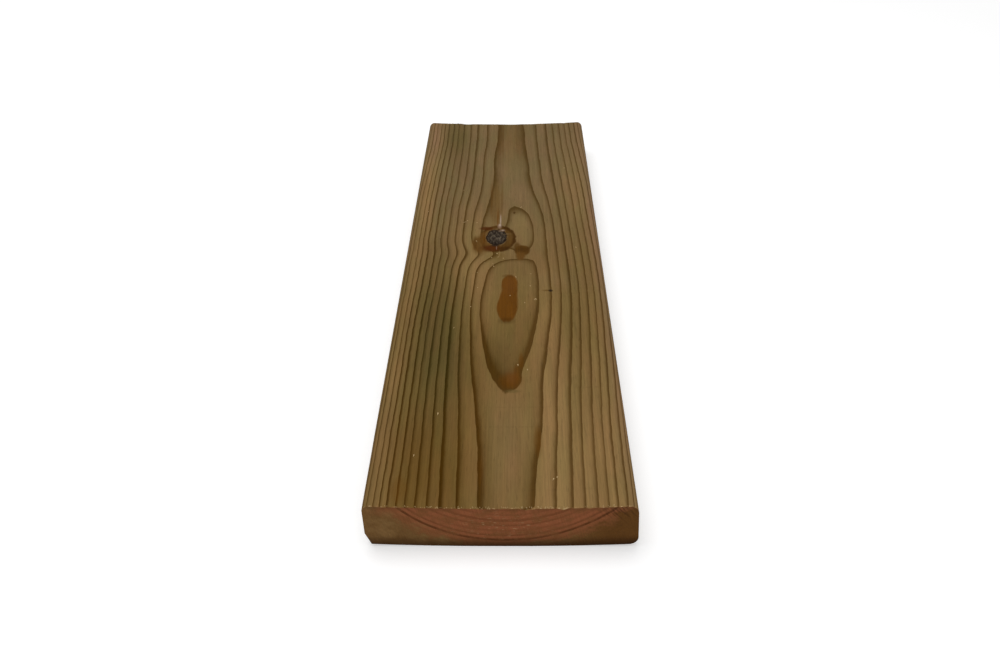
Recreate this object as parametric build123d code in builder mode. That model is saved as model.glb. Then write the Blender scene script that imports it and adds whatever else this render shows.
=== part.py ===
from build123d import *

# A short length of smooth, planed softwood decking, as it rests on a floor. The board runs along Y,
# its width along X and its thickness along Z. The origin is on the floor, under the middle of the
# board. Lengths are in millimetres, and angles in degrees unless a name says radians.

import os
from math import asin, degrees, sqrt

# The milled section and the sawn length
board_width = 145.0
board_thickness = 28.0
board_length = 500.0
edge_radius = 5.0

# The width has cupped as it dried: both long edges stand this far above the middle of the board
cup_rise = 2.0

# The strip along the middle of the belly that bears on whatever carries the board
seat_width = 32.0

# The cup bends the section round an axis high above the board, on which every arc is centred
half_width = board_width / 2
walking_face_radius = (half_width**2 + cup_rise**2) / (2 * cup_rise)
belly_radius = walking_face_radius + board_thickness
cup_axis_height = sqrt(belly_radius**2 - (seat_width / 2) ** 2)

# The angles at that axis from straight down to a long edge and to the edge of the seat
middle_radius = (walking_face_radius + belly_radius) / 2
edge_angle = degrees(asin(half_width / middle_radius))
seat_angle = degrees(asin(seat_width / 2 / belly_radius))
straight_down = -90
cup_axis = (0, cup_axis_height)

with BuildPart() as board:
    with BuildSketch(Plane.XZ) as section:
        with BuildLine():
            # The walking face, dished across its width
            walking_face = CenterArc(cup_axis, walking_face_radius, straight_down - edge_angle, 2 * edge_angle)
            # The belly is the same bend one thickness further out, with the flat seat in its middle
            belly_span = edge_angle - seat_angle
            left_belly = CenterArc(cup_axis, belly_radius, straight_down - edge_angle, belly_span)
            right_belly = CenterArc(cup_axis, belly_radius, straight_down + seat_angle, belly_span)
            Line(left_belly @ 1, right_belly @ 0)
            # The planed long edges stay square to the faces, so they lean in towards the cup's axis
            Line(walking_face @ 0, left_belly @ 0)
            Line(walking_face @ 1, right_belly @ 1)
        make_face()
        # Every long corner is eased to the same radius
        corners = section.vertices().group_by(Axis.X)
        fillet(corners[0] + corners[1] + corners[-2] + corners[-1], radius=edge_radius)
    # Both ends are cross-cut square by a saw
    extrude(amount=board_length / 2, both=True)

board.part.label = "decking_board"

os.makedirs("parts", exist_ok=True)
export_step(board.part, "parts/decking_board.step")
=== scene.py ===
# A short length of smooth, planed softwood decking, dressed around its CAD frame. The board runs along Y,
# its width along X and its thickness along Z, and the origin is on the floor under its middle.
# Blender works in metres. The wood's own sizes are written in millimetres, and turned into metres by mm.

import math
import random

import bpy
from mathutils import Matrix, Vector, noise


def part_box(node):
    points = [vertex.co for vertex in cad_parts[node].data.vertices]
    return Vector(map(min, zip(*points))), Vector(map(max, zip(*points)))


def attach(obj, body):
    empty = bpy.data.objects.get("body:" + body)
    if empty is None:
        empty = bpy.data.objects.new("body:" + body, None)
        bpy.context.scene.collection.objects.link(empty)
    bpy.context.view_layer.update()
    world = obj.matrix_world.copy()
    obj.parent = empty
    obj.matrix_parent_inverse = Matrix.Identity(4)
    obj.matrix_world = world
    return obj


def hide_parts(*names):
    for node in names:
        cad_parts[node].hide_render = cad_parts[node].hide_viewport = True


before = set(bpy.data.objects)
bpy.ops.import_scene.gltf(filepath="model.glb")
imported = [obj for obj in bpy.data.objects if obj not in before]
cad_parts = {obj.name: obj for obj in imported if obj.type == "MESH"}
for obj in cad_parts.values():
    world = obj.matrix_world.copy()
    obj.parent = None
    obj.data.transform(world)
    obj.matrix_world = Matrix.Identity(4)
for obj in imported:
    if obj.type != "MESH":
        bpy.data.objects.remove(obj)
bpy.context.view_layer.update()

mm = 0.001

# The milled section, as it is in the frame
board_width = 145.0
board_thickness = 28.0
edge_radius = 5.0
cup_rise = 2.0
seat_width = 32.0
low_corner, high_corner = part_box("decking_board")
board_length = (high_corner[1] - low_corner[1]) / mm
near_end = -board_length / 2
far_end = board_length / 2

# The cup bends the section round an axis high above the board
half_width = board_width / 2
walking_face_radius = (half_width**2 + cup_rise**2) / (2 * cup_rise)
belly_radius = walking_face_radius + board_thickness
middle_radius = (walking_face_radius + belly_radius) / 2
cup_axis_height = math.sqrt(belly_radius**2 - (seat_width / 2) ** 2)
face_height = cup_axis_height - walking_face_radius
edge_angle = math.asin(half_width / middle_radius)

# The dead knot on the walking face: its middle, half its width and length, and how it leans down the tree
knot_across = -5.6
knot_along = 33.4
knot_half_width = 7.8
knot_half_length = 11.7
knot_margin = 1.5
knot_lean_across = 0.2
knot_lean_along = -0.75
collar_across = 1.0
collar_along = -2.2
collar_half_width = 13.2
collar_half_length = 19.2
collar_dark_parts = (
    ((-9, 13), (7, 5), 1.0),
    ((-3, -21), (12, 8), 1.0),
    ((13, -4), (5, 16), 0.75),
    ((7, 12), (5, 7), 0.75),
)

# The pith ran above this board, so its walking face is the side that was nearer the middle of the tree
pith_across = 7.0
pith_depth = 57.8
pith_height = face_height + pith_depth
pith_bows = (((4, -112), (32, 60), 2.6),)
pith_drift = 3.0
pith_drift_start = 40.0
pith_drift_length = 290.0

# The long swelling of the stem round the knot: its start, peak and end, its height and its half width
swell_start = -215.0
swell_peak = -50.0
swell_end = 145.0
swell_height = 4.9
swell_half_width = 70.0

# Where the stem swells by a few millimetres more round its branches, or less between them: the middle of each
# hump, how far it reaches across and along the board, its height, and how flat its top is
stem_humps = (
    ((-10, 8), (34, 14), -3.4),
    ((7, 5), (14, 6), -1.0),
    ((32, 8), (12, 14), 0.6),
    ((-3, 55), (7, 18), -1.0),
    ((-19, 52), (13, 26), 0.8),
    ((28, 62), (13, 38), 1.1),
    ((13, 43), (8.6, 30), 1.5, 2),
    ((9, 70), (3.8, 10), 0.7),
    ((-10, 165), (14, 45), 0.7),
    ((19, 160), (8, 30), 0.5),
    ((-11, 179), (10, 26), 0.42),
    ((-15, -58), (9, 34), 0.6),
    ((0, -67), (8.6, 15.5), 0.8),
    ((2.9, -31), (6.2, 10.5), 0.55),
    ((-37, -180), (22, 68), 2.1),
    ((25, -188), (12, 34), 0.9),
    ((-48, -25), (16, 42), -1.3),
    ((-38, 82), (26, 22), 0.6),
    ((3, -150), (14, 30), -0.08),
    ((10.2, -144), (4.6, 9.5), 0.42),
)

# Where the wood takes on another cast: the middle, the reach and the strength of each patch
wood_patches = {
    "Pale": (
        ((62, -210), (36, 110), 1.0), ((30, -180), (10, 120), 0.9), ((-64, 120), (8, 170), 1.0),
        ((-22, -25), (12, 40), 0.7), ((62, -60), (20, 100), 0.2), ((-66, -180), (8, 110), 0.85),
        ((-25, 30), (12, 50), 0.5), ((58, 110), (16, 60), 0.5), ((13, 48), (7, 24), 0.3),
    ),
    "Brown": (
        ((-46, -215), (15, 75), 1.0), ((-26, -205), (14, 90), 0.6), ((5, 215), (13, 60), 0.4),
        ((-7, 92), (6, 36), 0.45), ((6, -75), (11, 50), 0.28), ((-4, 5), (5, 6), 0.6),
    ),
    "Green": (
        ((-48, -95), (13, 90), 1.0), ((-32, -120), (12, 80), 0.8), ((2, -108), (9, 30), 0.6),
        ((-45, 225), (12, 60), 0.8), ((8, -12), (12, 12), 0.3), ((48, -100), (10, 100), 0.25),
        ((-66, -205), (9, 60), 0.15), ((58, -40), (14, 80), 0.2),
    ),
    "Pink": (
        ((-63.5, 210), (5, 56), 0.9), ((-67, 60), (5, 60), 0.12), ((70, 0), (5, 300), 0.8),
        ((4, -200), (13, 60), 0.25), ((40, -30), (20, 12), 0.2),
    ),
    "Contrast": (
        ((-36, -140), (34, 150), 0.42), ((-52, 60), (10, 120), 0.1), ((0, 190), (22, 80), 0.1),
        ((56, -30), (14, 90), 0.15),
    ),
}

# Where the latewood of a year is wider
wide_bands = (((-6, -120), (9, 28), 0.12), ((18, -90), (8, 42), 0.1))

# Single lines that the planer left across the grain
planer_lines = (
    ((9, -168.5), (17, 0.5), 1.0), ((6, -186), (17, 0.5), 1.0), ((-30, -169), (7, 0.5), 0.5),
    ((0, 246.4), (24, 0.4), 1.0), ((53, -151), (8, 0.6), 1.0), ((46, -47), (12, 0.5), 0.8),
    ((58, -41), (9, 0.5), 0.7), ((60, -31), (7, 0.5), 0.7), ((44, -36), (8, 0.5), 0.5),
    ((15, -236.5), (3, 0.9), 1.2), ((29, -236.5), (3, 0.9), 1.2), ((47, -236), (3, 0.9), 0.9),
    ((-9, 140), (9, 0.6), 0.8), ((55, 190), (12, 0.6), 0.6), ((54, 157), (5, 0.6), 0.8),
)

# The planer's knives leave a ripple at this pitch
ripple_pitch = 5.2

# The saw's scratches and its bites slant on the ends, in degrees from upright and from level
scratch_slant = 14
bite_slant = -52

# The years whose arcs stand out on the ends: their radius and how clearly each shows
clear_arcs = ((81.0, 0.5), (77.7, 0.2), (66.8, 0.15), (70.2, 0.1))

# Where the saw tore the walking face at the ends: the place across, the half width and the depth of each bite
near_tears = ((14, 2.2, 0.9), (17.5, 1.0, 0.5), (33, 1.6, 1.1), (-8, 5, 0.2), (47, 1.5, 0.4), (-61, 3, 0.35))
far_tears = ((-36, 4, 0.4), (6, 9, 0.35), (24, 5, 0.3), (55, 2, 0.3))

# Loose splinters that stand on the walking face: across, along, length, and turn in degrees from the grain
face_splinters = (
    (23, -52.4, 2.8, -38), (23.4, -53.6, 1.6, -50), (15, -57, 1.6, 10), (10, -127, 2.0, 8),
    (16, -132, 1.4, 0),
    (-32, -87, 1.5, -12), (-30, 57, 3.2, -55), (-28.6, 59, 1.6, -40), (-21, 56, 1.5, -50), (14, 82, 2.4, -32),
    (54, 16, 1.8, 15), (51, 152, 2.0, 60), (-34, 112, 2.0, 0), (-21, 28, 2.6, 0), (-20.6, 27, 1.8, 4),
    (-7.5, -9, 1.8, 28), (53.5, -10, 1.6, 0), (-61, 73, 1.4, 0), (29, -228, 2.2, -25), (31, -226.5, 1.4, -15),
    (-37, -174, 2.4, 0), (-48, -210, 1.8, 0), (19, -36, 1.2, 20), (5, -48, 1.2, 0),
    (-5, 9, 1.6, 14), (-4, 4, 1.4, -8), (-9, 3, 1.2, 20), (0, 2, 1.2, -30), (-14, -4, 1.3, 40),
    (-8, -6, 1.0, 60),
    (-19, -18, 1.2, 0), (-18, -38, 1.0, 10), (20, -20, 1.2, -20), (9, -24, 1.0, 30), (-22, -62, 1.2, 0),
)

# The outer radius of each year's growth, from the youngest that the board holds
year_radii = (34.0, 44.0, 53.1, 56.4, 59.7, 63.2, 67.4, 70.9, 74.8, 78.3, 81.6, 85.2, 88.0, 90.5, 93.5,
              96.0, 99.0, 101.5, 104.5, 107.0, 110.0, 112.5, 115.5, 118.5, 121.0)


def from_screen(red, green, blue):
    """A colour in linear light from its three display values, 0 to 255."""
    def linear(value):
        share = value / 255
        return share / 12.92 if share <= 0.04045 else ((share + 0.055) / 1.055) ** 2.4
    return (linear(red), linear(green), linear(blue), 1.0)


# The finishes of the wood
earlywood = from_screen(119, 94, 54)
pale_earlywood = from_screen(137, 110, 69)
pink_earlywood = from_screen(134, 106, 78)
grey_earlywood = from_screen(115, 96, 66)
brown_earlywood = from_screen(104, 78, 36)
green_earlywood = from_screen(93, 77, 42)
latewood = from_screen(66, 40, 0)
grey_latewood = from_screen(70, 49, 8)
green_latewood = from_screen(50, 39, 5)
amber_latewood = from_screen(93, 54, 5)
knot_collar = from_screen(94, 63, 24)
collar_shadow = from_screen(80, 52, 14)
knot_outline = from_screen(60, 35, 5)
knot_red = from_screen(74, 38, 8)
knot_rim = from_screen(112, 91, 60)
knot_grey = from_screen(106, 94, 78)
knot_dark = from_screen(34, 25, 18)
resin = from_screen(138, 112, 90)
pale_resin = from_screen(168, 148, 132)
brown_band = from_screen(100, 74, 38)
heart_end = from_screen(140, 84, 53)
olive_heart_end = from_screen(120, 79, 44)
sap_end = from_screen(122, 92, 54)
dark_sap_end = from_screen(98, 64, 28)
late_end = from_screen(72, 40, 12)
# Painted shade for the lower edge of the ends
lower_edge_shade = from_screen(54, 32, 11)
fresh_fibre = from_screen(196, 168, 122)
green_tone = (0.96, 1.0, 0.95, 1.0)
rosy_tone = (1.04, 0.985, 1.0, 1.0)


class Graph:
    """One node tree as it is written. A value is a socket or a plain number, and each call gives a socket."""

    def __init__(self, tree):
        self.tree = tree

    def node(self, kind, **settings):
        made = self.tree.nodes.new(kind)
        for name, value in settings.items():
            setattr(made, name, value)
        return made

    def feed(self, socket, value):
        if isinstance(value, bpy.types.NodeSocket):
            self.tree.links.new(value, socket)
        else:
            socket.default_value = value

    def fed(self, kind, values, output=0, **settings):
        """One output of a new node, whose inputs take the values by name or in their order."""
        made = self.node(kind, **settings)
        if not isinstance(values, dict):
            values = dict(enumerate(values))
        for key, value in values.items():
            self.feed(made.inputs[key], value)
        return made.outputs[output]

    def math(self, operation, *values, clamp=False):
        return self.fed("ShaderNodeMath", values, operation=operation, use_clamp=clamp)

    def add(self, first, second):
        return self.math("ADD", first, second)

    def subtract(self, first, second):
        return self.math("SUBTRACT", first, second)

    def times(self, first, *others):
        for value in others:
            first = self.math("MULTIPLY", first, value)
        return first

    def total(self, start, *shares):
        """The start with each share added to it. A share is a value and its weight."""
        for value, weight in shares:
            start = self.add(start, self.times(value, weight))
        return start

    def vector(self, operation, *values):
        output = "Value" if operation == "LENGTH" else "Vector"
        return self.fed("ShaderNodeVectorMath", values, output, operation=operation)

    def split(self, vector):
        return self.fed("ShaderNodeSeparateXYZ", (vector,)).node.outputs

    def join(self, x, y, z):
        return self.fed("ShaderNodeCombineXYZ", (x, y, z))

    def step(self, value, start, end, low=0.0, high=1.0, smooth=True):
        """Goes from low to high as the value goes from start to end."""
        kind = "SMOOTHSTEP" if smooth else "LINEAR"
        return self.fed("ShaderNodeMapRange", (value, start, end, low, high), interpolation_type=kind)

    def swing(self, value, start=0.3, end=0.7):
        """Goes evenly from -1 to 1 as the value goes from start to end."""
        return self.step(value, start, end, -1, 1, smooth=False)

    def band(self, value, rise_start, rise_end, fall_start, fall_end):
        """1 between a rise and a fall, and nothing outside them."""
        rise = self.step(value, rise_start, rise_end)
        return self.times(rise, self.step(value, fall_start, fall_end, 1, 0))

    def noise(self, place, pace, detail=2.0, roughness=0.5):
        """Noise from 0 to 1, with its pace along each axis, in spots to a millimetre."""
        stretched = self.vector("MULTIPLY", place, pace)
        values = {"Vector": stretched, "Scale": 1.0, "Detail": detail, "Roughness": roughness}
        return self.fed("ShaderNodeTexNoise", values, "Fac")

    def wander(self, place, pace, detail=2.0):
        """Noise that swings half either side of nothing."""
        return self.subtract(self.noise(place, pace, detail), 0.5)

    def mix(self, factor, first, second, blend="MIX"):
        values = {0: factor, 6: first, 7: second}
        return self.fed("ShaderNodeMix", values, 2, data_type="RGBA", blend_type=blend)

    def over(self, colour, *layers):
        """The colour with each layer laid over it. A layer is a mask and its colour."""
        for mask, layer in layers:
            colour = self.mix(mask, colour, layer)
        return colour

    def shade(self, colour, light):
        """The colour made lighter or darker."""
        return self.mix(1.0, colour, self.join(light, light, light), "MULTIPLY")

    def use(self, group, *values):
        """The outputs of a node group, whose inputs take the values in their order."""
        return self.fed("ShaderNodeGroup", values, node_tree=group).node.outputs

    def bump(self, height, strength, distance):
        return self.fed("ShaderNodeBump", {"Height": height, "Strength": strength, "Distance": distance})


# Node groups: each effect of the wood that its materials share


def node_group(name, write, **inputs):
    """A shader node group of numbers. It takes the inputs named, or else a position in millimetres."""
    group = bpy.data.node_groups.new(name, "ShaderNodeTree")
    for socket_name, kind in (inputs or {"Position": "Vector"}).items():
        group.interface.new_socket(socket_name, in_out="INPUT", socket_type="NodeSocket" + kind)
    graph = Graph(group)
    given = graph.node("NodeGroupInput").outputs
    values = write(graph, *(given[socket_name] for socket_name in inputs or ("Position",)))
    for socket_name in values:
        group.interface.new_socket(socket_name, in_out="OUTPUT", socket_type="NodeSocketFloat")
    result = graph.node("NodeGroupOutput").inputs
    for socket_name, value in values.items():
        graph.feed(result[socket_name], value)
    return group


def plan_distance(graph, place, centre, reach):
    """How far a place lies from a centre over the board's plan, in shares of a reach across and along."""
    share = graph.vector("DIVIDE", graph.vector("SUBTRACT", place, centre), reach)
    return graph.vector("LENGTH", graph.vector("MULTIPLY", share, (1, 1, 0)))


def write_bell(graph, place, centre, reach, flatness):
    """A smooth hump over the board's plan, 1 at its centre. A flatness over 1 gives it a level top."""
    length = plan_distance(graph, place, centre, reach)
    steep = graph.math("POWER", graph.times(length, length), flatness)
    return {"Bell": graph.math("EXPONENT", graph.times(steep, -1))}


def hump_at(graph, place, centre, width, flatness=1.0):
    """The bell over one place of the plan."""
    return graph.use(bell, place, (*centre, 0), (*width, 1), flatness)["Bell"]


def humps_over(graph, place, humps):
    """The sum of several bells, each with its middle, its reach and its strength."""
    return graph.total(0.0, *((hump_at(graph, place, centre, width), strength)
                              for centre, width, strength in humps))


def write_growth_rings(graph, place):
    """The years of growth through the whole board, as distance from the pith, swollen round its knots."""
    across, along, height = graph.split(place)

    # Where this place lies from the pith, which drifts across the width and bows as it runs down the tree
    drift = graph.math("DIVIDE", graph.subtract(along, pith_drift_start), pith_drift_length)
    aside = graph.total(graph.subtract(across, pith_across), (graph.times(drift, drift), pith_drift),
                        (humps_over(graph, place, pith_bows), 1))
    radius = graph.vector("LENGTH", graph.join(aside, graph.subtract(pith_height, height), 0))

    # The stem is thicker round its branches. A hump here swells it, and one below nothing draws it in again
    swelling = graph.times(graph.step(along, swell_start, swell_peak),
                           graph.step(along, swell_peak, swell_end, swell_height, 0))
    side_share = graph.math("DIVIDE", aside, swell_half_width)
    wide = graph.math("EXPONENT", graph.times(side_share, side_share, -1))
    radius = graph.total(radius, (graph.times(swelling, wide), -1),
                         *((hump_at(graph, place, centre, width, *flatness), -swell)
                           for centre, width, swell, *flatness in stem_humps))

    # The years are narrower towards the far end
    taper = graph.add(graph.times(graph.subtract(radius, pith_depth), 0.08), 0.5)
    radius = graph.total(radius, (graph.step(along, 100, 220), taper))

    # No year is a true circle: slow waves, a finer tremble, and a wobble that is stronger at the sides
    slow = graph.wander(place, (0.035, 0.009, 0.035), 1.5)
    fine = graph.wander(place, (0.25, 0.045, 0.25))
    wobble = graph.times(graph.wander(place, (0.16, 0.13, 0.16), 1), graph.math("ABSOLUTE", side_share))
    radius = graph.total(radius, (slow, 1.3), (fine, 0.45), (wobble, 0.6))

    # The radius gives the year, and the part of a year gives the season
    curve = graph.node("ShaderNodeFloatCurve")
    reach = year_radii[-1] - year_radii[0]
    points = curve.mapping.curves[0].points
    last = len(year_radii) - 1
    for index, year_radius in enumerate(year_radii[1:-1], start=1):
        points.new((year_radius - year_radii[0]) / reach, index / last)
    for point in points:
        point.handle_type = "VECTOR"
    curve.mapping.update()
    graph.feed(curve.inputs["Value"], graph.step(radius, year_radii[0], year_radii[-1], smooth=False))
    year = graph.times(curve.outputs[0], last)
    return {"Year": year, "Season": graph.math("FRACT", year), "Radius": radius}


def write_latewood(graph, year, season, delay):
    """How much of the dark, hard latewood shows: it sets in slowly over a year and stops short at its end."""
    year_number = graph.add(graph.math("FLOOR", year), 3.5)
    chance = graph.fed("ShaderNodeTexWhiteNoise", {"W": year_number}, "Value", noise_dimensions="1D")
    begin = graph.add(graph.step(chance, 0, 1, 0.55, 0.65, smooth=False), delay)
    strength = graph.step(chance, 0, 1, 1.0, 0.8, smooth=False)
    set_in = graph.math("POWER", graph.step(season, begin, graph.add(begin, 0.26)), 1.4)
    stop = graph.step(season, 0.97, 1.0, 1, 0)
    shading = graph.step(season, graph.total(0.3, (delay, 3)), 0.88)
    return {"Latewood": graph.times(set_in, stop, strength), "Darkening": graph.times(shading, stop)}


def write_fibres(graph, place):
    """Fine streaks along the grain, and the short dark dashes of resin canals."""
    return {"Streaks": graph.swing(graph.noise(place, (0.9, 0.018, 0.9), 4, 0.6)),
            "Fine": graph.swing(graph.noise(place, (4.5, 0.16, 4.5), 2, 0.6)),
            "Canals": graph.step(graph.noise(place, (2.2, 0.13, 2.2), 0), 0.7, 0.78)}


def write_stain(graph, place, centre, reach, softness):
    """One soft-edged patch on the walking face, with an uneven outline."""
    wander = graph.wander(place, (0.16, 0.07, 0.16))
    distance = graph.total(plan_distance(graph, place, centre, reach), (wander, 0.7))
    return {"Stain": graph.step(distance, graph.subtract(1, softness), graph.add(1, softness), 1, 0)}


def write_knot(graph, through_board):
    """The dead branch through the board: its face and rim, the gap round it with painted shade inside its
    face, and the stained collar.
    """
    across, along, height = graph.split(through_board)
    depth = graph.subtract(face_height, height)
    aside = graph.total(graph.subtract(across, knot_across), (depth, -knot_lean_across))
    ahead = graph.total(graph.subtract(along, knot_along), (depth, -knot_lean_along))
    place = graph.join(aside, ahead, 0)
    wander = graph.wander(place, (0.22, 0.16, 0))
    frayed = graph.wander(place, (0.9, 0.5, 0), 3)
    distance = plan_distance(graph, place, (0, 0, 0), (knot_half_width, knot_half_length, 1))
    distance = graph.total(distance, (wander, 0.3), (frayed, 0.12))
    face = graph.step(distance, 0.94, 1.02, 1, 0)
    # Painted shade on the knot's sunk face, darker towards its edge and its lower side, joins the gap round
    # it
    knot_face_shade = graph.times(graph.step(distance, 0.45, 0.9), graph.step(ahead, -12, 2, 1.05, 0.3), face)
    gap = graph.math("MAXIMUM", graph.band(distance, 0.8, 0.95, 0.98, 1.06), knot_face_shade)
    rim = graph.times(graph.band(distance, 1.0, 1.06, 1.08, 1.2), graph.step(frayed, -0.14, 0.06))

    # The collar of stained wood round the branch, with a dark outline that is stronger on some sides
    reach = plan_distance(graph, place, (collar_across, collar_along, 0),
                          (collar_half_width, collar_half_length, 1))
    reach = graph.total(reach, (wander, 0.17), (frayed, 0.03))
    dark_parts = graph.add(humps_over(graph, place, collar_dark_parts), 0.15)
    outline = graph.math("MULTIPLY", graph.band(reach, 0.78, 0.96, 1.0, 1.1), dark_parts, clamp=True)

    # The drying cracks and the grey mottle of its face
    cells = {"Vector": graph.vector("MULTIPLY", place, (0.42, 0.17, 0)), "Randomness": 1.0}
    cracks = graph.fed("ShaderNodeTexVoronoi", cells, "Distance", feature="DISTANCE_TO_EDGE")
    cracks = graph.step(cracks, 0.02, 0.1, 1, 0)
    mottle = graph.noise(place, (0.55, 0.24, 0), 4, 0.7)
    return {"Face": face, "Gap_and_shade": gap, "Rim": rim, "Collar": graph.step(reach, 0.98, 1.09, 1, 0),
            "Left": graph.step(aside, -8, 2, 1, 0), "Outline": outline,
            "Checks": graph.times(cracks, face), "Mottle": graph.step(mottle, 0.42, 0.66, 0.05, 1.0)}


def write_planer_marks(graph, place):
    """The faint cross ripple that the planer's knives leave, and a few single lines across the grain."""
    wave = graph.math("SINE", graph.times(graph.split(place)[1], 2 * math.pi / ripple_pitch))
    patches = graph.step(graph.noise(place, (0.03, 0.02, 0.03), 1), 0.45, 0.7)
    broken = graph.step(graph.noise(place, (0.5, 0.05, 0.5)), 0.35, 0.6)
    return {"Ripple": graph.times(wave, patches),
            "Lines": graph.times(humps_over(graph, place, planer_lines), broken)}


def write_casts(graph, place):
    """How the wood changes over the plan of the board, as masks for each cast."""
    broken = graph.step(graph.noise(place, (0.14, 0.014, 0.14), 3), 0.3, 0.7, 0.7, 1.15, smooth=False)
    casts = {name: graph.math("MULTIPLY", humps_over(graph, place, patches), broken, clamp=True)
             for name, patches in wood_patches.items()}
    casts["Grey"] = graph.step(graph.split(place)[1], -110, 150)
    casts["Rosy"] = graph.step(graph.noise(place, (0.1, 0.022, 0.1)), 0.36, 0.64, smooth=False)
    casts["Shade"] = graph.swing(graph.noise(place, (0.06, 0.022, 0.06), 5, 0.6), 0.32, 0.68)
    return casts


def turned_about_length(graph, place, degrees):
    """The place turned about the board's length."""
    values = {"Vector": place, "Rotation": (0, math.radians(degrees), 0)}
    return graph.fed("ShaderNodeMapping", values)


def end_hump(graph, place, centre, width):
    """A bell over the sawn end, with its middle and its reach as across and height."""
    across, _, height = graph.split(place)
    return hump_at(graph, graph.join(across, height, 0), centre, width)


def write_saw_marks(graph, place):
    """The cross-cut ends: slanting saw scratches, open pores, blotches, torn, pale flecks and a few bites."""
    scratches = graph.noise(turned_about_length(graph, place, scratch_slant), (1.3, 0, 0.06), 3, 0.6)
    bites = graph.noise(turned_about_length(graph, place, bite_slant), (0.1, 0, 0.9))
    bites = graph.times(graph.step(bites, 0.46, 0.62), end_hump(graph, place, (62, 24), (11, 7)))
    return {"Scratches": graph.swing(scratches), "Bites": bites,
            "Pores": graph.swing(graph.noise(place, (2.0, 0, 2.0), 3, 0.75)),
            "Blotches": graph.swing(graph.noise(place, (0.09, 0, 0.16), 3, 0.6), 0.34, 0.66),
            "Flecks": graph.step(graph.noise(place, (0.3, 0, 1.6), 1), 0.62, 0.72)}


bell = node_group("bell", write_bell, Position="Vector", Centre="Vector", Reach="Vector", Flatness="Float")
growth_rings = node_group("growth_rings", write_growth_rings)
latewood_bands = node_group("latewood", write_latewood, Year="Float", Season="Float", Delay="Float")
fibres = node_group("fibres", write_fibres)
stain = node_group("stain", write_stain, Position="Vector", Centre="Vector", Reach="Vector", Softness="Float")
dead_knot = node_group("dead_knot", write_knot)
planer_marks = node_group("planer_marks", write_planer_marks)
wood_casts = node_group("wood_casts", write_casts)
saw_marks = node_group("saw_marks", write_saw_marks)


# The marks round the knots on the walking face: middle, reach, softness, colour and strength
face_stains = (
    ((9.2, 75), (3.0, 5.5), 0.45, collar_shadow, 0.3),
    ((8.0, 72), (0.9, 1.6), 0.6, knot_outline, 0.7),
    ((13.8, 12.8), (5.6, 6.6), 0.2, collar_shadow, 0.95),
    ((12.4, 5.5), (3.3, 6), 0.4, knot_collar, 0.95),
    ((14.5, 13.8), (5, 3.4), 0.7, knot_outline, 0.4),
    ((9.8, 19), (2.4, 5.5), 0.5, collar_shadow, 0.8),
    ((-17.6, 21.5), (5.8, 13.5), 0.35, knot_collar, 0.9),
    ((-21.5, 24), (1.2, 9), 0.4, collar_shadow, 0.5),
    ((-7.0, 86), (4.2, 34), 0.35, brown_band, 0.55),
    ((-1.9, 98), (0.9, 30), 0.5, collar_shadow, 0.4),
    ((-10.4, 100), (1.1, 26), 0.5, collar_shadow, 0.5),
    ((-4.8, 215), (2.2, 42), 0.5, collar_shadow, 0.4),
    ((-2.0, 230), (0.7, 60), 0.5, collar_shadow, 0.4),
    ((12, 225), (3.6, 50), 0.5, collar_shadow, 0.22),
    ((-4.9, 61), (0.7, 15), 0.5, amber_latewood, 0.65),
    ((30.8, -42.6), (3, 1.0), 0.6, collar_shadow, 0.6),
    ((33, -43), (1.5, 1.4), 0.5, knot_dark, 0.9),
    ((2.5, -79), (4.5, 3.5), 0.6, knot_outline, 0.45),
    ((3, -23), (3.5, 2), 0.6, collar_shadow, 0.5),
    ((-10.8, -222), (1.6, 9), 0.5, amber_latewood, 0.25),
    ((-53.5, -238), (4, 9), 0.5, amber_latewood, 0.3),
    ((20.8, -198), (2, 12), 0.5, amber_latewood, 0.4),
    ((12, -124), (1.5, 8), 0.5, amber_latewood, 0.5),
    ((9.2, -136), (2.0, 8), 0.5, amber_latewood, 0.5),
    ((5.5, -143), (6.5, 7), 0.5, amber_latewood, 0.6),
    ((6.5, -140), (3.6, 7), 0.7, heart_end, 0.08),
    ((4.5, -35), (4, 10), 0.7, heart_end, 0.07),
    ((6.5, -153.6), (4, 1.5), 0.6, green_earlywood, 0.6),
)

# The marks on and over the collar
collar_stains = (
    ((-8.8, 16.4), (7, 4.6), 0.45, knot_red, 1.0),
    ((-6.4, 20.5), (3.2, 1.6), 0.5, knot_dark, 0.85),
    ((0.2, 16), (4.6, 3.2), 0.5, knot_outline, 0.75),
    ((-14.8, 30), (1.1, 8), 0.5, amber_latewood, 0.45),
    ((-13.2, 46.4), (5.4, 2.6), 0.45, knot_red, 0.9),
    ((-2.7, 60), (0.5, 8.6), 0.5, pale_resin, 0.7),
    ((-3.4, 50.5), (1.5, 3.4), 0.6, resin, 0.8),
    ((-3.2, 52), (0.8, 1.8), 0.5, pale_resin, 0.8),
    ((-1.6, 43.5), (2.3, 1.2), 0.5, resin, 0.65),
    ((-0.6, 44), (1.0, 0.6), 0.5, pale_resin, 0.6),
    ((-5.4, 17), (0.35, 2.6), 0.5, resin, 0.6),
    ((-3.2, 8), (0.5, 4.5), 0.5, pale_earlywood, 0.6),
    ((3, 38), (3.4, 0.5), 0.5, knot_rim, 0.5),
)


# The materials


def blank_material(name):
    """A new material, with its graph and its surface shader."""
    material = bpy.data.materials.new(name)
    material.use_nodes = True
    material.node_tree.nodes.clear()
    graph = Graph(material.node_tree)
    shader = graph.node("ShaderNodeBsdfPrincipled")
    output = graph.node("ShaderNodeOutputMaterial")
    graph.feed(output.inputs["Surface"], shader.outputs["BSDF"])
    return material, graph, shader


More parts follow.
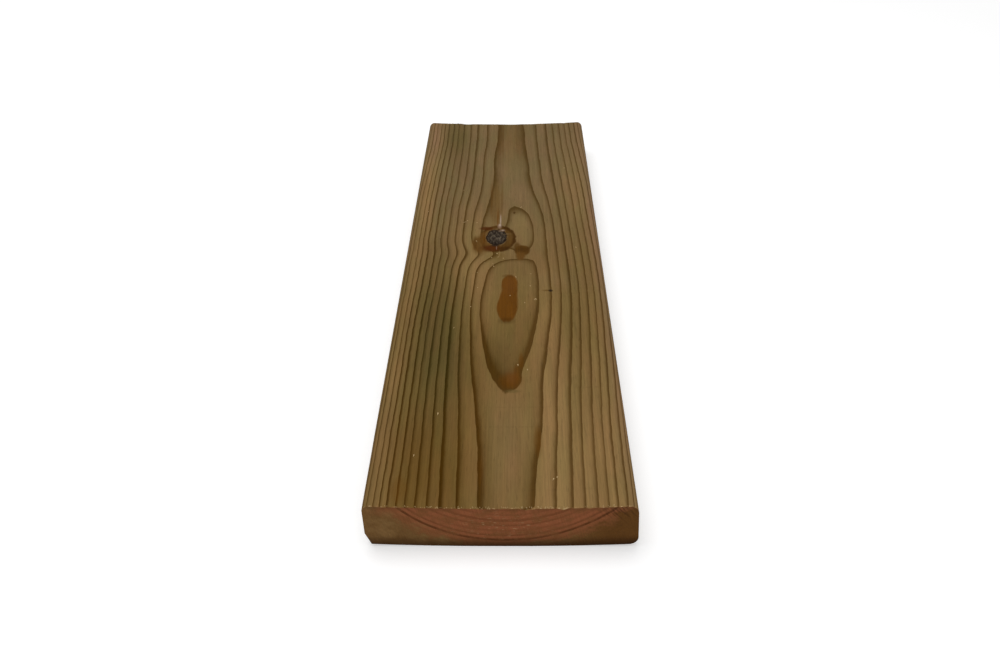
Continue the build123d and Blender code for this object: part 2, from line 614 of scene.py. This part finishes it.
def wood_material(name):
    """A new material, and the place on the piece in millimetres, with the cup taken out."""
    material, graph, shader = blank_material(name)
    cupped_place = graph.node("ShaderNodeTexCoord").outputs["Object"]
    across, along, height = graph.split(graph.vector("MULTIPLY", cupped_place, (1 / mm, 1 / mm, 1 / mm)))
    cup = graph.math("DIVIDE", graph.times(across, across), 2 * walking_face_radius)
    return material, graph, shader, graph.join(across, along, graph.subtract(height, cup))


def finish_surface(graph, shader, colour, roughness, normal, reflection):
    """Feeds a wood's shader with its colour, its roughness, its relief and how strongly it reflects."""
    values = {"Base Color": colour, "Roughness": roughness, "Normal": normal,
              "Specular IOR Level": reflection}
    for name, value in values.items():
        graph.feed(shader.inputs[name], value)


def stain_over(graph, place, colour, stains):
    """The colour with each of the stains laid over it."""
    for centre, reach, softness, stain_colour, strength in stains:
        mask = graph.use(stain, place, (*centre, 0), (*reach, 1), softness)
        colour = graph.mix(graph.times(mask["Stain"], strength), colour, stain_colour)
    return colour


def grown_colour(graph, rings, late, cast):
    """The colour of the clear wood: its earlywood in the casts of the board, darkened by its latewood."""
    colour = graph.over(earlywood, (graph.times(cast["Grey"], 0.85), grey_earlywood),
                        (cast["Pale"], pale_earlywood), (cast["Pink"], pink_earlywood),
                        (cast["Brown"], brown_earlywood), (cast["Green"], green_earlywood))
    tone = graph.mix(cast["Rosy"], green_tone, rosy_tone)
    colour = graph.mix(1.0, colour, tone, "MULTIPLY")

    # Amber fills the youngest years, which show in the patch below the knot and at the teardrop's tip
    amber = graph.step(rings["Radius"], 53.2, 54.6, 1, 0)
    dark = graph.over(latewood, (graph.times(cast["Grey"], 0.9), grey_latewood),
                      (cast["Green"], green_latewood), (amber, amber_latewood))
    contrast = graph.total(graph.step(cast["Grey"], 0, 1, 0.66, 0.72, smooth=False), (cast["Contrast"], 1),
                           (graph.step(rings["Radius"], 60, 68, 1, 0), 0.16))
    contrast = graph.math("MAXIMUM", contrast, graph.times(amber, 0.98), clamp=True)
    return graph.over(colour, (graph.times(late["Darkening"], contrast, 0.45), dark),
                      (graph.times(late["Latewood"], contrast), dark))


def knot_over(graph, colour, knot):
    """The colour with the knot laid over it, from its collar up to the gap, the painted shade of its face and
    the cracks.
    """
    collar = graph.mix(knot["Left"], collar_shadow, knot_collar)
    face = graph.mix(knot["Mottle"], knot_dark, knot_grey)
    gap_shade_and_cracks = graph.math("MAXIMUM", graph.times(knot["Gap_and_shade"], 0.85), graph.times(knot["Checks"], 0.5))
    return graph.over(colour, (graph.times(knot["Collar"], 0.85), collar),
                      (graph.times(knot["Outline"], 0.95), knot_outline),
                      (graph.times(knot["Rim"], 0.6), knot_rim), (knot["Face"], face), (gap_shade_and_cracks, knot_dark))


def arris_fibres_and_highlight_over(graph, place, colour):
    """The colour with the fresh, pale fibres of the sawn arrises laid over it, partly a painted highlight
    along the arrises.
    """
    inward = graph.subtract(far_end, graph.math("ABSOLUTE", graph.split(place)[1]))
    torn = graph.noise(place, (0.5, 0.5, 0.5), 3, 0.7)
    # Pale fibres and painted highlight, within about a millimetre of each end
    arris = graph.times(graph.step(inward, 0.2, 1.1, 1, 0), graph.step(torn, 0.45, 0.68, 0.1, 0.7))
    return graph.mix(arris, colour, graph.mix(graph.step(torn, 0.5, 0.62), heart_end, fresh_fibre))


def planed_softwood():
    """The planed faces and long edges."""
    material, graph, shader, place = wood_material("planed_softwood")
    across, along, _ = graph.split(place)
    rings = graph.use(growth_rings, place)
    older = graph.times(graph.step(rings["Radius"], 53.5, 55), graph.step(along, -190, -90, 0.07, 0))
    delay = graph.total(graph.step(along, -170, -30, -0.03, 0.06), (older, 1),
                        (humps_over(graph, place, wide_bands), -1))
    late = graph.use(latewood_bands, rings["Year"], rings["Season"], delay)
    grain = graph.use(fibres, place)
    cast = graph.use(wood_casts, place)
    knot = graph.use(dead_knot, place)
    marks = graph.use(planer_marks, place)

    colour = grown_colour(graph, rings, late, cast)
    colour = stain_over(graph, place, colour, face_stains)
    colour = knot_over(graph, colour, knot)
    colour = stain_over(graph, place, colour, collar_stains)
    colour = arris_fibres_and_highlight_over(graph, place, colour)
    # Painted shade darkens the left rounded edge, and the right edge is a little lighter
    light = graph.total(1, (grain["Streaks"], 0.12), (grain["Fine"], 0.08), (cast["Shade"], 0.05),
                        (grain["Canals"], -0.15), (marks["Lines"], -0.12),
                        (graph.step(across, -63, -72), -0.13), (graph.step(across, 64, 72), 0.05))
    roughness = graph.total(0.62, (grain["Fine"], 0.05), (late["Latewood"], -0.12))
    relief = graph.total(0, (grain["Fine"], 0.25), (grain["Streaks"], 0.25), (late["Latewood"], 0.9),
                         (marks["Ripple"], 0.25), (knot["Checks"], -3))
    normal = graph.bump(relief, 0.5, 0.08 * mm)
    finish_surface(graph, shader, graph.shade(colour, light), roughness, normal, reflection=0.01)
    return material


def arc_strength(graph, radius, blotches):
    """How clearly each year's arc shows on the ends: two stand out and the others are faint and broken."""
    strength = graph.times(graph.step(blotches, -1, 1, 0.04, 0.24), graph.step(radius, 82, 90, 1, 0.35))
    for clear_radius, clear in clear_arcs:
        away = graph.math("ABSOLUTE", graph.subtract(radius, clear_radius))
        clear = graph.step(blotches, -0.9, 0.5, clear * 0.35, clear)
        strength = graph.add(strength, graph.step(away, 0.8, 1.8, clear, 0))
    return strength


def sawn_end_grain():
    """The two cross-cut ends."""
    material, graph, shader, place = wood_material("sawn_end_grain")
    rings = graph.use(growth_rings, place)
    late = graph.use(latewood_bands, rings["Year"], rings["Season"], -0.16)
    saw = graph.use(saw_marks, place)
    blotches = saw["Blotches"]

    # The pink heart, the sapwood of the lower corners and a red spot high on the left
    across, _, height = graph.split(place)
    heart = graph.step(graph.total(rings["Radius"], (blotches, 4.5)), 81, 91, 1, 0)
    corner = graph.over(sap_end, (graph.step(across, 20, 60), dark_sap_end),
                        (graph.step(blotches, -1, 1, 0.5, 0), dark_sap_end))
    flesh = graph.mix(graph.step(blotches, -1, 0.6, 0.7, 0), heart_end, olive_heart_end)
    red_spot = graph.times(end_hump(graph, place, (-60.5, 24), (7, 2.6)),
                           graph.step(saw["Pores"], -0.8, 0.8, 0.15, 0.6))
    colour = graph.over(corner, (heart, flesh), (red_spot, heart_end))

    # The arcs of the years, a painted shade along the lower edge and the pale flecks in the middle
    strength = arc_strength(graph, rings["Radius"], blotches)
    # Painted shade, darkest at the bottom edge and stronger towards the right
    lower_edge_shade_mask = graph.step(height, 0, 8, graph.step(across, -60, 60, 0.75, 0.95, smooth=False), 0)
    flecks = graph.times(saw["Flecks"], end_hump(graph, place, (2, 15), (26, 9)), 0.42)
    colour = graph.over(colour, (graph.times(late["Darkening"], strength, 0.25), late_end),
                        (graph.times(late["Latewood"], strength), late_end),
                        (lower_edge_shade_mask, lower_edge_shade), (flecks, fresh_fibre))
    # Painted shade darkens the top few millimetres of the ends, under the arris
    light = graph.total(1, (saw["Scratches"], 0.08), (saw["Bites"], -0.4), (saw["Pores"], 0.14),
                        (blotches, 0.06), (graph.step(height, 24.5, 28), -0.14))
    roughness = graph.total(0.85, (saw["Pores"], 0.06))
    relief = graph.total(saw["Scratches"], (saw["Pores"], 0.5), (late["Latewood"], 0.6))
    normal = graph.bump(relief, 0.6, 0.15 * mm)
    finish_surface(graph, shader, graph.shade(colour, light), roughness, normal, reflection=0.06)
    return material


def torn_wood(name, dark, pale):
    """Splinters and torn fibres."""
    material, graph, shader, place = wood_material(name)
    grain = graph.use(fibres, place)
    colour = graph.mix(graph.step(grain["Streaks"], -1, 1), dark, pale)
    roughness = graph.total(0.7, (grain["Fine"], 0.08))
    normal = graph.bump(grain["Fine"], 0.4, 0.05 * mm)
    finish_surface(graph, shader, colour, roughness, normal, reflection=0.1)
    return material


# The board as one closed mesh


def stops(*stretches):
    """Places along a line: each stretch is its start, its end and about the gap between its places."""
    places = []
    for start, end, gap in stretches:
        count = max(1, round(abs(end - start) / gap))
        places += [start + (end - start) * index / count for index in range(count)]
    return places


def rounded_edge(across, depth, quarter):
    """A quarter of a circle round a long edge's middle. The quarters run clockwise from the top."""
    steps = 8
    turns = [math.pi / 2 * (quarter + step / steps) for step in range(steps)]
    return [(across + edge_radius * math.sin(turn), depth - edge_radius * math.cos(turn)) for turn in turns]


def section_places():
    """The milled section unbent, as (across, depth), clockwise from the left end of the walking face."""
    flat = half_width - edge_radius
    deep = board_thickness - edge_radius
    knot_left = knot_across - knot_half_width - knot_margin
    knot_right = knot_across + knot_half_width + knot_margin
    across_face = stops((-flat, knot_left, 0.8), (knot_left, knot_right, 0.3), (knot_right, flat, 0.8))
    down_side = stops((edge_radius, deep, 1.5))
    places = [(across, 0.0) for across in across_face]
    places += rounded_edge(flat, edge_radius, 0)
    places += [(half_width, depth) for depth in down_side]
    places += rounded_edge(flat, deep, 1)
    places += [(across, board_thickness) for across in stops((flat, -flat, 3.0))]
    places += rounded_edge(-flat, deep, 2)
    places += [(-half_width, board_thickness - depth) for depth in down_side]
    places += rounded_edge(-flat, edge_radius, 3)
    return places


def length_places():
    """Where the section stands along the board: close together at the ends and over the knot."""
    knot_start = knot_along - knot_half_length - knot_margin
    knot_end = knot_along + knot_half_length + knot_margin
    run_up = 8
    end_reach = 4.0
    marks = (near_end, near_end + end_reach, knot_start - run_up, knot_start, knot_end, knot_end + run_up,
             far_end - end_reach, far_end)
    gaps = (0.4, 6, 1.5, 0.3, 1.5, 6, 0.4)
    return stops(*zip(marks, marks[1:], gaps)) + [far_end]


def bend(across, along, depth):
    """A place in the unbent board, taken to its place in the cupped one."""
    angle = across / half_width * edge_angle
    radius = walking_face_radius + depth
    height = min(max(0.0, cup_axis_height - radius * math.cos(angle)), high_corner[2] / mm)
    aside = min(max(low_corner[0] / mm, radius * math.sin(angle)), high_corner[0] / mm)
    return Vector((aside, along, height)) * mm


def knot_sink(across, along):
    """How far the dead knot's face lies under the walking face, with its rim's gap and its drying cracks."""
    face_depth = 0.25
    gap_depth = 0.55
    rough_depth = 0.12
    crack_depth = 0.6
    aside = (across - knot_across) / knot_half_width
    ahead = (along - knot_along) / knot_half_length
    wander = noise.noise(Vector((aside * 1.4, ahead * 1.4, 3.0)))
    distance = math.hypot(aside, ahead) + 0.08 * wander
    if distance > 1.2:
        return 0.0
    face = face_depth * min(1.0, max(0.0, (1.05 - distance) / 0.1))
    rim = gap_depth * math.exp(-((distance - 1.0) / 0.05) ** 2) * (0.55 + 0.9 * wander)
    rough = rough_depth * noise.noise(Vector((across * 1.1, along * 0.8, 7.0))) if distance < 1 else 0.0
    crack = abs(noise.noise(Vector((across * 0.32, along * 0.2, 11.0))))
    split = crack_depth * max(0.0, 1 - crack / 0.05) if distance < 0.95 else 0.0
    return max(0.0, face + rim + rough + split)


def end_tear(across, along):
    """How far the saw tore the walking face down, in the last two millimetres before each end."""
    reach = 2.0
    inward = far_end - abs(along)
    if inward > reach:
        return 0.0
    ragged = noise.noise(Vector((across * 0.7, 5.0 if along < 0 else 15.0, 0.0)))
    tear = 0.12 + 0.25 * max(0.0, ragged)
    for place, half, depth in (near_tears if along < 0 else far_tears):
        tear += depth * math.exp(-((across - place) / half) ** 2)
    return tear * (1 - inward / reach) ** 1.5


def edge_wear(along, depth):
    """How far wear has taken the left edge in by the near end: it leans, and its lower corner is cut off."""
    reach = 110.0
    nearness = max(0.0, 1 - (along - near_end) / reach)
    corner_depth = board_thickness - 8.0
    lean = 0.3 + 1.2 * min(1.0, depth / corner_depth)
    chamfer = 0.44 * max(0.0, depth - corner_depth)
    return (lean + chamfer) * nearness**2


def place_object(name, data):
    """A new object at the origin, unturned."""
    placed = bpy.data.objects.new(name, data)
    bpy.context.collection.objects.link(placed)
    return placed


def new_mesh(name, places, faces=()):
    """A new mesh from its places in metres and the places of each face."""
    mesh = bpy.data.meshes.new(name)
    mesh.from_pydata(places, [], faces)
    return mesh


def board_piece(planed, sawn):
    """The whole board: its outline carried along its length, and a flat face of end grain on each end."""
    outline = section_places()
    lengths = length_places()
    around = len(outline)
    places = []
    for along in lengths:
        for across, depth in outline:
            sink = knot_sink(across, along) + end_tear(across, along) if depth == 0.0 else 0.0
            worn_across = max(across, edge_wear(along, depth) - half_width)
            places.append(bend(worn_across, along, depth + sink))
    faces = []
    for row in range(len(lengths) - 1):
        this_row = row * around
        next_row = this_row + around
        for column in range(around):
            following = (column + 1) % around
            faces.append((this_row + column, this_row + following, next_row + following, next_row + column))
    sides = len(faces)
    last_row = (len(lengths) - 1) * around
    faces.append(tuple(reversed(range(around))))
    faces.append(tuple(range(last_row, last_row + around)))
    mesh = new_mesh("board", places, faces)
    mesh.materials.append(planed)
    mesh.materials.append(sawn)
    for face in mesh.polygons:
        face.use_smooth = face.index < sides
        face.material_index = 0 if face.index < sides else 1
    return place_object("board", mesh)


# Splinters and torn fibres, which Geometry Nodes stand on points


def fibre_tree():
    """A thin tapered sliver on every point, turned from the grain and lifted by the point's own values."""
    tree = bpy.data.node_groups.new("torn_fibres", "GeometryNodeTree")
    for name, kind, direction in (("Points", "Geometry", "INPUT"), ("Thickness", "Float", "INPUT"),
                                  ("Seed", "Int", "INPUT"), ("Material", "Material", "INPUT"),
                                  ("Fibres", "Geometry", "OUTPUT")):
        tree.interface.new_socket(name, in_out=direction, socket_type="NodeSocket" + kind)
    graph = Graph(tree)
    given = graph.node("NodeGroupInput").outputs
    result = graph.node("NodeGroupOutput").inputs

    def of_point(name):
        return graph.fed("GeometryNodeInputNamedAttribute", {"Name": name}, "Attribute", data_type="FLOAT")

    points = graph.fed("GeometryNodeMeshToPoints", {"Mesh": given["Points"]}, "Points")
    sizes = {"Vertices": 5, "Depth": 1.0, "Radius Bottom": graph.times(given["Thickness"], 0.5),
             "Radius Top": graph.times(given["Thickness"], 0.1)}
    sliver = graph.fed("GeometryNodeMeshCone", sizes, "Mesh", fill_type="NGON")
    rotation = graph.join(graph.subtract(math.pi / 2, of_point("lift")), 0, of_point("turn"))
    chance = {2: 0.6, 3: 1.3, "Seed": given["Seed"]}
    uneven = graph.fed("FunctionNodeRandomValue", chance, 1, data_type="FLOAT")
    scale = graph.join(uneven, 0.5, of_point("length"))
    placing = {"Points": points, "Instance": sliver, "Rotation": rotation, "Scale": scale}
    slivers = graph.fed("GeometryNodeInstanceOnPoints", placing, "Instances")
    real = graph.fed("GeometryNodeRealizeInstances", {"Geometry": slivers}, "Geometry")
    finishing = {"Geometry": real, "Material": given["Material"]}
    graph.feed(result["Fibres"], graph.fed("GeometryNodeSetMaterial", finishing, "Geometry"))
    return tree


def fibre_piece(name, tree, slivers, material, thickness, seed):
    """One piece of slivers. Each is (across, along, sink, length, turn, lift) in millimetres and degrees."""
    mesh = new_mesh(name, [bend(*sliver[:3]) for sliver in slivers])
    degree = math.radians(1)
    for column, value_name, unit in ((3, "length", mm), (4, "turn", degree), (5, "lift", degree)):
        values = mesh.attributes.new(value_name, "FLOAT", "POINT")
        for index, sliver in enumerate(slivers):
            values.data[index].value = sliver[column] * unit
    piece = place_object(name, mesh)
    modifier = piece.modifiers.new(name, "NODES")
    modifier.node_group = tree
    given = {"Thickness": thickness * mm, "Seed": seed, "Material": material}
    for socket in tree.interface.items_tree:
        if socket.in_out == "INPUT" and socket.name in given:
            modifier[socket.identifier] = given[socket.name]
    evaluated = piece.evaluated_get(bpy.context.evaluated_depsgraph_get())
    made = bpy.data.meshes.new_from_object(evaluated)
    piece.modifiers.clear()
    piece.data = made
    return piece


def standing_splinters():
    """The loose splinters of the walking face, sunk a little into it and lifted by a few degrees."""
    sink = 0.02
    lift = 5
    return [(across, along, sink, length, turn, lift) for across, along, length, turn in face_splinters]


def arris_slivers(chances):
    """Short fibres along both sawn arrises of the walking face. Their tips stay inside the board's length."""
    slivers_on_each = 80
    slivers = []
    for turn in (0, 180):
        for index in range(slivers_on_each):
            across = chances.uniform(-60, 60) if index % 3 else chances.gauss(14, 16)
            length = chances.uniform(0.5, 1.4)
            inward = length + chances.uniform(0.05, 0.5)
            along = near_end + inward if turn == 0 else far_end - inward
            lift = chances.uniform(2, 13)
            own_turn = turn + chances.uniform(-12, 12)
            slivers.append((across, along, end_tear(across, along), length, own_turn, lift))
    return slivers


def tuft_slivers(chances):
    """The torn tuft that stands on the far arris, left of the middle. It stays under the high edges."""
    sink = 0.15
    lift = 62
    slivers_in_tuft = 26
    slivers = []
    for _ in range(slivers_in_tuft):
        across = chances.gauss(-44.5, 1.9)
        along = far_end - chances.uniform(0.9, 1.5)
        length = chances.uniform(0.75, 1.0)
        slivers.append((across, along, sink, length, 180 + chances.uniform(-60, 60), lift))
    return slivers


# The stage


def seen_rays(graph):
    """1 for the rays that show the stage to the eye, straight, in a reflection or through glass."""
    ray = graph.node("ShaderNodeLightPath")
    seen = graph.math("MAXIMUM", ray.outputs["Is Camera Ray"], ray.outputs["Is Glossy Ray"])
    return graph.math("MAXIMUM", seen, ray.outputs["Is Transmission Ray"])


def pale_floor():
    """A wide floor that is white to the camera and keeps the board's soft shadow."""
    half = 4.0
    corners = ((-half, -half, 0), (half, -half, 0), (half, half, 0), (-half, half, 0))
    mesh = new_mesh("floor", corners, [(0, 1, 2, 3)])
    material, graph, shader = blank_material("floor")
    shader.inputs["Base Color"].default_value = (0.72, 0.72, 0.72, 1)
    shader.inputs["Roughness"].default_value = 0.9
    shader.inputs["Specular IOR Level"].default_value = 0.0
    distance = graph.vector("LENGTH", graph.node("ShaderNodeTexCoord").outputs["Object"])
    glow = graph.step(distance, 0.9, 2.2, 0.4, 1.0)
    shader.inputs["Emission Color"].default_value = (1, 1, 1, 1)
    graph.feed(shader.inputs["Emission Strength"], graph.times(seen_rays(graph), glow))
    mesh.materials.append(material)
    place_object("floor", mesh)


def soft_lamp(name, place, size, power):
    """A square soft lamp that points at the middle of the floor."""
    lamp = bpy.data.lights.new(name, "AREA")
    lamp.size = size
    lamp.energy = power
    holder = place_object(name, lamp)
    holder.location = place
    holder.rotation_euler = (-Vector(place)).to_track_quat("-Z", "Y").to_euler()


def studio_light():
    """An even white room with two large soft lamps, one overhead and a weak one in front."""
    room_light = 0.45
    world = bpy.data.worlds.new("studio")
    world.use_nodes = True
    background = world.node_tree.nodes["Background"]
    background.inputs["Color"].default_value = (1, 1, 1, 1)
    graph = Graph(world.node_tree)
    brightness = graph.step(seen_rays(graph), 0, 1, room_light, 1.0, smooth=False)
    graph.feed(background.inputs["Strength"], brightness)
    bpy.context.scene.world = world
    soft_lamp("overhead", (-0.3, 0.2, 1.8), 1.6, 20)
    soft_lamp("front", (0.3, -1.9, 1.0), 1.2, 7)


def photograph_camera():
    """The camera at the photograph's own place, turn and angle of view."""
    image_width = 1000
    focal_length_in_pixels = 940.9
    sensor_width = 36.0
    place = Vector((8.15, -593.04, 381.19)) * mm
    heading = math.radians(-1.109)
    tilt_down = math.radians(35.276)
    roll = math.radians(0.794)
    level_forward = Vector((math.sin(heading), math.cos(heading), 0))
    forward = level_forward * math.cos(tilt_down) - Vector((0, 0, math.sin(tilt_down)))
    level_right = Vector((math.cos(heading), -math.sin(heading), 0))
    level_down = forward.cross(level_right)
    right = level_right * math.cos(roll) + level_down * math.sin(roll)
    down = level_down * math.cos(roll) - level_right * math.sin(roll)
    camera = bpy.data.cameras.new("camera")
    camera.sensor_width = sensor_width
    camera.lens = focal_length_in_pixels * sensor_width / image_width
    holder = place_object("camera", camera)
    axes = Matrix((right, -down, -forward)).transposed().to_4x4()
    holder.matrix_world = Matrix.Translation(place) @ axes
    bpy.context.scene.camera = holder


# The pieces

board = board_piece(planed_softwood(), sawn_end_grain())
torn_fibres = fibre_tree()
fresh_finish = torn_wood("fresh_fibres", pale_earlywood, fresh_fibre)
green_finish = torn_wood("green_fibres", green_latewood, green_earlywood)
splinters = fibre_piece("face_splinters", torn_fibres, standing_splinters(), fresh_finish, 0.7, seed=3)
fringe = fibre_piece("arris_fibres", torn_fibres, arris_slivers(random.Random(11)), fresh_finish, 0.3, seed=5)
tuft = fibre_piece("far_tuft", torn_fibres, tuft_slivers(random.Random(17)), green_finish, 0.5, seed=9)
for piece in (board, splinters, fringe, tuft):
    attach(piece, "root")
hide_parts("decking_board")

pale_floor()
studio_light()
photograph_camera()
bpy.context.scene.view_settings.view_transform = "Standard"
